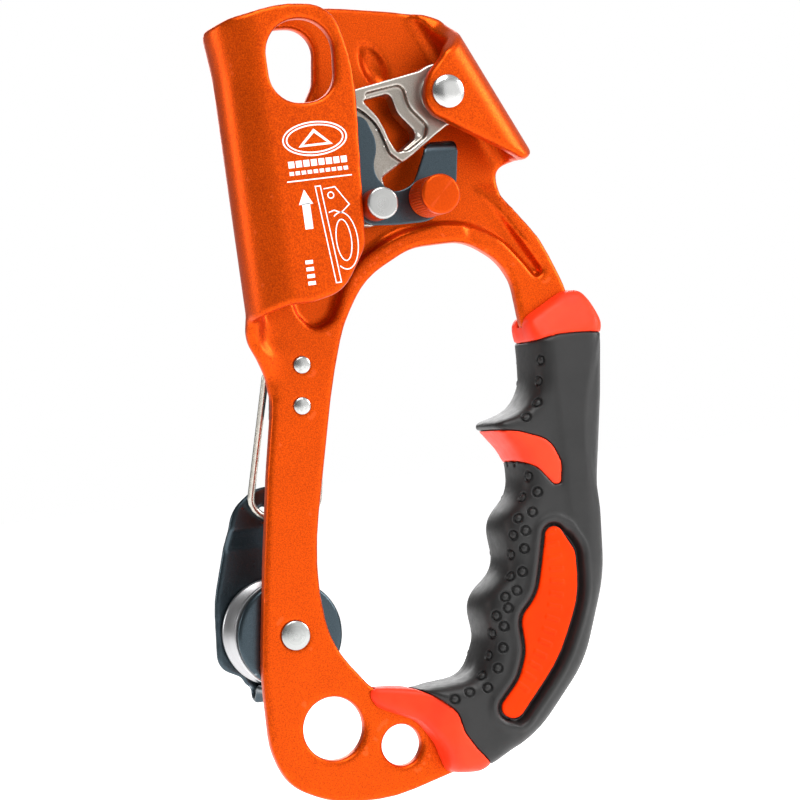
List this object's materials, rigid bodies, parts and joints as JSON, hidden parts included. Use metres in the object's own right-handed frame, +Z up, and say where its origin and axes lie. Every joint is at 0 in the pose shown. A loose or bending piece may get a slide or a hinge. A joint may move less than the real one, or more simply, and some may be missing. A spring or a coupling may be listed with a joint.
{
  "type": "rope ascender",
  "caption": "Handled rope ascender: folded metal frame with a toothed spring cam and thumb trigger, a rubber hand grip, connector holes, and a haul pulley with a wire gate behind it",
  "frame": {"origin": "Centre of the large lower connector hole, in the middle of the plate's thickness.", "axes": "+Z up along the rope, the device's long direction; +X across the plate towards the hand grip; +Y through the plate towards the back, where the pulley is."},
  "size_m": [0.1029, 0.0438, 0.196],
  "materials": {
    "anodised_orange": "satin anodised",
    "grip_rubber": "fine matte texture",
    "soft_orange": "soft matte",
    "cast_nickel": "blasted with polished rims",
    "bright_steel": "turned and polished",
    "dark_steel": "dark satin plated",
    "sheave_alloy": "turned bright"
  },
  "bodies": {
    "frame_body": {"frame": "anodised_orange", "grip_body": "grip_rubber", "grip_top_collar": "soft_orange", "grip_bottom_collar": "soft_orange", "finger_insert": "soft_orange", "badge_front": "soft_orange", "badge_back": "soft_orange", "cam_rivet": "bright_steel", "cam_spring": "bright_steel", "bearing_inner_ring": "bright_steel", "axle_spacers": "bright_steel", "pulley_axle": "bright_steel", "pulley_bracket": "dark_steel", "gate_block": "dark_steel", "gate_rivets": "bright_steel"},
    "cam_body": {"cam": "cast_nickel", "trigger_pin": "bright_steel", "trigger_collar": "anodised_orange", "trigger_spring": "bright_steel"},
    "trigger_body": {"trigger": "dark_steel", "knob": "anodised_orange", "knob_stud": "bright_steel"},
    "sheave_body": {"sheave": "sheave_alloy", "bearing_outer_ring": "bright_steel", "bearing_seals": "grip_rubber"},
    "ball_set": {"bearing_balls": "bright_steel"},
    "gate": {"gate_wire": "bright_steel"}
  },
  "joints": [
    {"name": "cam_hinge", "type": "hinge", "parent": "frame_body", "child": "cam_body", "pos_m": [0.043, -0.00525, 0.1522], "axis": [0, -1, 0], "range_deg": [0, 32], "stiffness_Nm_per_rad": 0.08, "springref_deg": -28.65},
    {"name": "trigger_hinge", "type": "hinge", "parent": "cam_body", "child": "trigger_body", "pos_m": [0.0224, -0.0097, 0.1262], "axis": [0, 1, 0], "range_deg": [0, 11], "stiffness_Nm_per_rad": 0.02, "springref_deg": -28.65},
    {"name": "sheave_spin", "type": "hinge", "parent": "frame_body", "child": "sheave_body", "pos_m": [-0.0073, 0.01158, 0.024], "axis": [0, 1, 0], "continuous": true},
    {"name": "ball_spin", "type": "hinge", "parent": "frame_body", "child": "ball_set", "pos_m": [-0.0073, 0.01158, 0.024], "axis": [0, 1, 0], "continuous": true},
    {"name": "gate_hinge", "type": "hinge", "parent": "frame_body", "child": "gate", "pos_m": [0.0018, 0.0056, 0.08798], "axis": [-0.993, 0, 0.1184], "range_deg": [0, 16], "stiffness_Nm_per_rad": 0.01, "springref_deg": -22.92}
  ],
  "couplings": [
    {"joint": "ball_spin", "follows": "sheave_spin", "ratio": 0.6207}
  ]
}
